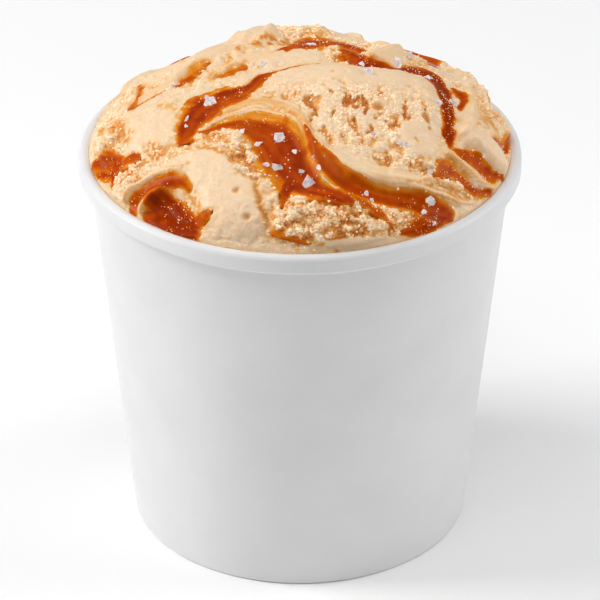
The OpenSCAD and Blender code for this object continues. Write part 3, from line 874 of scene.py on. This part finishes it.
# frost is paler, except where caramel has soaked in
taken = 0.8 - 0.5 * FROSTED[origin] * (STAIN[origin] < 0.85)
keep_number(granules, "stain", taken * STAIN[origin])
keep_number(granules, "rough", np.full(len(origin), 0.1))

# %% Loose crumbs
CRUMBS = 240
CRUMB_SUNK = -0.1
loose = np.flatnonzero((ROUGH > 0.7) & (SHOWS < 0.6) & (SHARE < INSIDE_RIM))
loose = granule_random.choice(loose, CRUMBS, replace=False)
radii = granule_random.uniform(0.2, 0.4, len(loose)) * MM
crumbs, _ = strewn("crumbs", loose, radii, CRUMB_SUNK, 31)

# %% Specks on the caramel
SPECK_TINTS = [0.05, 0.35, 0.6, 0.7]
SPECK_SUNK = -0.3
SPECKLED = [
    # (u, v, length, width, turn, how thickly strewn)
    (-8, -17.5, 9, 2, 0, 0.5), (-1.5, -25, 5, 2, -60, 0.35), (-8, -30, 6, 1.6, -60, 0.4),
    (2, -39, 5, 1.8, -35, 0.3), (33, -8, 11, 2.2, 88, 0.8), (29, 8, 6, 3, -20, 0.6),
    (13, 8, 8, 3, 80, 0.5), (6, 18.5, 9, 3, 0, 0.5), (-30, -40, 5, 7, 0, 0.6),
    (-47, -15, 8, 4, 20, 0.5), (-39, -31, 5, 2, 50, 0.5), (-17, -7.5, 7, 1.5, 15, 0.4),
    (30, -42, 6, 4, -30, 1.0), (43, -19.6, 9, 2, 0, 0.5), (37, -26.5, 8, 2, 0, 0.5),
    (50, -3, 4, 8, 0, 0.5), (-22, 7, 5, 2, 55, 0.5), (-23, -43, 4, 2, 20, 0.6),
    (-10, 32, 10, 3, 20, 0.4), (15, 37, 12, 3, -30, 0.4), (-37, 26, 10, 3, 50, 0.4),
    (16, -42.5, 6, 1.4, -30, 0.5),
]
strewn_here = np.zeros(len(U))
for u, v, length, width, turn, thick in SPECKLED:
    strewn_here = np.maximum(strewn_here, thick * spot(u, v, length, width, turn, 0.5))
strewn_here *= 0.42 * ease(0.4 + grain(1.6, 23.1)) * (SHOWS > 0.02)
specked = np.flatnonzero(granule_random.random(len(U)) < strewn_here)
radii = granule_random.uniform(0.08, 0.17, len(specked)) * MM
specks, origin = strewn("caramel_specks", specked, radii, SPECK_SUNK, 41)
tints = granule_random.choice(SPECK_TINTS, len(specked))
keep_number(specks, "stain", np.repeat(tints, len(origin) // len(specked)))

# %% [markdown]
# ## Salt flakes
# Flaky salt is thin, angular and a little see-through, each flake different. A convex hull round a
# few scattered points gives just that: flat broken facets that a rounded or bevelled block lacks.

# %% Where the flakes lie
FLAKES = [
    # (u, v, length, width) in millimetres on the map
    (-20, -9.3, 5, 3.4), (-25, -14.2, 2.2, 0.9), (-25.2, -16.6, 1.4, 0.8),
    (-28.3, 2.3, 2.5, 1.5), (-8.5, 5, 3.4, 2.4), (-13, -21.3, 2, 1.5), (-9.6, -25, 3.6, 1.3),
    (-4.5, -24, 3.5, 3), (-1.2, -28, 1.6, 1.5), (-7.5, -31.5, 2, 1.8), (-5, -32.3, 3, 2.4),
    (0.3, -33.5, 2, 1.5), (1.8, -37, 5, 3.6), (3, -30.5, 1.2, 1), (4.2, -33.3, 2, 1.4),
    (15, -38.5, 2, 1.5), (16.3, -40, 1.7, 1.4), (30.5, -36, 3.5, 2.8), (29.8, -39.3, 1.6, 1.4),
    (33.5, -42, 1.6, 1), (16.8, -21.5, 4, 2.4), (22.5, -23.7, 3.6, 1.5), (29.3, -28.5, 2, 1.4),
    (15.5, -1, 3.2, 2.4), (31, -4.5, 2.6, 2), (35, -1, 3, 1.5), (13.7, 5.3, 2.2, 1.6),
    (22, 10, 5, 2.4), (25, 17.5, 3, 2), (28.8, 6.5, 3, 1.6), (2.7, 17.5, 3, 1.6),
    (-14, 31, 3, 2), (8, 34, 3.4, 2.2), (-33, 27, 2.6, 1.8), (24, 30, 3, 2), (-2, 44, 2.4, 1.6),
    (33, 20, 2, 1.5),
]
print(len(FLAKES), "flakes placed by hand")

# %% How a flake is made
salt_random = random.Random(3)
salt_bm = bmesh.new()
TO_THE_FRONT = Vector((0, -0.86, 0.5))
FULL_TURN = 6.28  # radians


def draw_between(low, high):
    """The next number of the salt's own random run."""
    return salt_random.uniform(low, high)


def add_flake(u, v, length, width, rise=0.3):
    """One flake: a big one is a few broken shards grown together, a grain is a single shard."""
    lies, out = lie_at(u, v)
    lean_over = (1.6 if v < 12 else 0.4) * TO_THE_FRONT * min(1, length)
    faced = (out + lean_over).normalized()
    spin = draw_between(-0.4, 0.4)
    lean = draw_between(0.0, 0.35)
    turn = turned(faced, spin, lean, draw_between(0, FULL_TURN))
    thick = (0.16 + 0.08 * width) * MM
    shards = 3 if length > 1.8 else 1
    for shard in range(shards):
        size = 1.0 if shard == 0 else draw_between(0.35, 0.55)
        shift = Vector((0, 0, 0))
        if shard:
            shift = Vector((draw_between(-0.27, 0.27) * length,
                            draw_between(-0.27, 0.27) * width, 0)) * MM
        tilt = Matrix.Rotation(draw_between(-0.5, 0.5) * min(shard, 1), 4, "X")
        corners = []
        for corner in range(6):
            a = corner * math.pi / 3 + draw_between(-0.5, 0.5)
            far = draw_between(0.72, 1.1) * size / 2 * MM
            for side in (-0.5, 0.5):
                drawn_in = far * draw_between(0.72, 1.0)
                corners.append(Vector((length * drawn_in * math.cos(a), width * drawn_in * math.sin(a),
                                       thick * side * draw_between(0.6, 1.1))))
        foot = lies + out * thick * rise
        placed = [foot + (turn @ (tilt @ c + shift).to_4d()).to_3d() for c in corners]
        points = [salt_bm.verts.new(place) for place in placed]
        hull = bmesh.ops.convex_hull(salt_bm, input=points)
        inside = [g for g in hull["geom_interior"] if isinstance(g, bmesh.types.BMVert)]
        bmesh.ops.delete(salt_bm, geom=inside, context="VERTS")


def add_grain(u, v, smallest, largest):
    """A small grain, nearly as wide as long, that stands up a little more than a flake."""
    size = draw_between(smallest, largest)
    add_flake(u, v, size, size * draw_between(0.6, 1), 0.4)


for flake in FLAKES:
    add_flake(*flake)
print("a flake has about", round(len(salt_bm.faces) / len(FLAKES)), "faces")

# %% Grains beside the flakes, and sparkles on the caramel
GRAINS = 110
STRAY = 3.5
GRAINS_WITHIN = 53
SPARKLES = 450
for _ in range(GRAINS):
    u, v, _, _ = salt_random.choice(FLAKES)
    away = abs(salt_random.gauss(0, STRAY))
    angle = draw_between(0, FULL_TURN)
    u, v = u + away * math.cos(angle), v + away * math.sin(angle)
    if math.hypot(u, v) < GRAINS_WITHIN:
        add_grain(u, v, 0.22, 0.6)
chance = 0.04 + 0.3 * RAGGED ** 2
wet = np.flatnonzero((SHOWS > 0.1) & (SHARE < INSIDE_RIM)).tolist()
for i in salt_random.sample(wet, SPARKLES):
    if chance[i] >= salt_random.random():
        add_grain(float(U[i]), float(V[i]), 0.14, 0.34)
bmesh.ops.recalc_face_normals(salt_bm, faces=salt_bm.faces[:])
salt = new_object("salt_flakes", salt_bm)
print("salt", len(salt.data.polygons), "faces")

# %% [markdown]
# ## The finish of the ice cream
# The colour is one ramp from pale cream through amber to caramel, read by the stain number, so a
# halo and a streak pass through the same colours that mixing gives on the real thing. Light goes a
# millimetre or so into frozen cream, which is the subsurface part. The granules are smaller than
# that, so theirs is painted light instead: a faint glow of their own colour, though they are no
# lamp, which stands for the light that their neighbours pass on. The crumbs and specks share it.

# %% Colours of the ice cream
# the first stop, paler than smooth cream at 0.1, is painted light for the rough parts
CREAM_STOPS = [(0.0, (1.0, 0.80, 0.57)), (0.1, (0.92, 0.67, 0.435)), (0.23, (0.9, 0.6, 0.32)),
               (0.41, (0.83, 0.45, 0.15)), (0.64, (0.74, 0.29, 0.05)), (0.82, (0.6, 0.16, 0.012)),
               (1.0, (0.42, 0.075, 0.003))]
# painted light: the granules' colours are paler still, to make up for the shade they cast on each
# other
PALE_GRANULES = [(0.0, (1.0, 0.79, 0.56)), (0.1, (0.96, 0.73, 0.48)), (0.23, (0.92, 0.6, 0.33))]
GRANULE_STOPS = PALE_GRANULES + CREAM_STOPS[3:]
print("ramps of", len(CREAM_STOPS), "and", len(GRANULE_STOPS), "colours")

# %% The ice cream's finish
CELLS_SCALE = 1500
GRAIN_SCALE = 2400


def wandering(finish, place, scale, reach):
    """Coordinates pushed about by noise, so that cells read with them aren't all alike."""
    pushed = finish.nodes.new("ShaderNodeVectorMath")
    pushed.operation = "MULTIPLY_ADD"
    wander = finish.noise(place, scale, 2, output="Color")
    return finish.fill(pushed, {0: wander, 1: (reach, reach, reach), 2: place}).outputs["Vector"]


def cream_material(name, stops, depth, shine, glow=0.0):
    """Ice cream: its colour from the stain number, granules where it is rough, a soft inside, and a
    painted glow of its own colour when glow is given.
    """
    finish = Finish(name)
    place = finish.place()
    rough = finish.attribute("rough")
    cells = finish.fill(finish.nodes.new("ShaderNodeTexVoronoi"), {
        "Scale": CELLS_SCALE, "Vector": wandering(finish, place, 900, 1.2 * MM)}).outputs["Distance"]
    # the seams between granules are darker, partly caramel mix and partly painted shade in the dips
    # that the bump below makes; some blots are darker too
    seams = finish.maths("MULTIPLY", finish.maths("SUBTRACT", cells, 0.42), rough)
    mottle = finish.maths("SUBTRACT", finish.noise(place, 1100, 3, 0.6), 0.5)
    number = finish.maths("MULTIPLY_ADD", seams, 0.3, finish.attribute("stain"))
    number = finish.maths("MULTIPLY_ADD", mottle, 0.25, number)
    colour = finish.ramp(number, stops)
    # a fine grain everywhere, and the granules' own roundness where the surface is rough
    grainy = finish.bump(finish.noise(place, GRAIN_SCALE, 3, 0.7), 0.15 * MM, 0.5)
    heights = finish.maths("MULTIPLY", finish.maths("ADD", rough, 0.1), cells)
    finish.fill(finish.shader, {
        "Base Color": colour,
        "Normal": finish.bump(heights, -0.3 * MM, 0.7, before=grainy),
        "Roughness": 0.42,
        "Specular IOR Level": shine,
    })
    finish.scatter(depth, (1.0, 0.5, 0.2), 0.9 * MM)
    # painted light: an emission in the ramp's own colour makes the piece glow, though it is no lamp
    if glow:
        finish.fill(finish.shader, {"Emission Color": colour, "Emission Strength": glow})
    return finish.material


cream_look = cream_material("ice cream", CREAM_STOPS, 0.4, 0.4)
# the granules, crumbs and specks share this finish, with 0.2 of painted glow
granule_look = cream_material("ice cream granules", GRANULE_STOPS, 0.0, 0.2, 0.2)
print(cream_look.name, "has", len(cream_look.node_tree.nodes), "nodes")

# %% [markdown]
# ## The finish of the caramel
# Caramel is clear brown: a thin film over pale ice cream is golden, and a deep pool is nearly red
# brown. Instead of tracing light through it, the depth of each point above the ice cream, kept when
# the piece was made, picks the colour. Streaks along the flow vary it a little.

# %% The caramel's finish
CARAMEL_STOPS = [(0.0, (0.8, 0.31, 0.03)), (0.2, (0.69, 0.19, 0.005)), (0.5, (0.53, 0.085, 0.001)),
                 (0.8, (0.42, 0.045, 0.0005)), (1.0, (0.3, 0.027, 0.0003))]


def caramel_material():
    """Caramel: darker where it is deep, streaked along its flow, with a soft gloss."""
    finish = Finish("caramel")
    depth = finish.maths("MULTIPLY_ADD", finish.attribute("flow"), 0.32, finish.attribute("depth"))
    waves = finish.noise(finish.place(), 500, 2)
    finish.fill(finish.shader, {
        "Base Color": finish.ramp(finish.maths("MULTIPLY", depth, 0.5), CARAMEL_STOPS),
        "Normal": finish.bump(waves, 0.2 * MM, 0.25),
        "Roughness": 0.25,
        "Specular IOR Level": 0.05,
    })
    finish.scatter(0.2, (1.0, 0.3, 0.05), 1.0 * MM)
    return finish.material


caramel_look = caramel_material()
print(caramel_look.name, "has", len(caramel_look.node_tree.nodes), "nodes")

# %% [markdown]
# ## The finish of the salt
# Salt flakes are cloudy, not clear: inside each are bubbles and cracks, and the warm colour of what
# they lie on shows through. A mottled tone between a dull rose grey and white gives that in one
# step: the cloud is the salt's own, the rose is painted light for what shows through.

# %% The salt's finish
def salt_material():
    """Salt: cloudy white with a dull rose in it, the rose painted light for what shows through."""
    finish = Finish("salt")
    cloud = finish.noise(finish.place(), 1100)
    # partly painted light: the rose stop stands for the warm colour seen through the flake, the white
    # for its own cloud
    tone = finish.ramp(cloud, [(0.38, (0.72, 0.57, 0.56)), (0.6, (0.97, 0.92, 0.91))])
    finish.fill(finish.shader, {"Base Color": tone, "Roughness": 0.2})
    finish.scatter(0.2, (1, 1, 1), 0.4 * MM)
    return finish.material


salt_look = salt_material()
print(salt_look.name, "has", len(salt_look.node_tree.nodes), "nodes")

# %% [markdown]
# ## Every piece on the one body
# Nothing on a tub moves, so all the pieces ride on the root body. The modelled heap stands for the
# CAD's plain one, which stays for weight and contact.

# %% Finishes on, pieces on the body
for piece, look, slot in ((cream, cream_look, "ice_cream"), (caramel, caramel_look, "caramel"),
                          (granules, granule_look, "ice_cream"), (crumbs, granule_look, "ice_cream"),
                          (specks, granule_look, "caramel"), (salt, salt_look, "salt")):
    piece.data.materials.append(look)
    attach(piece, "root")
    print(piece.name, "in", look.name, len(piece.data.polygons), "faces")
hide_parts("ice_cream")

# %% Plain colours
bpy.context.scene.view_settings.view_transform = "Standard"
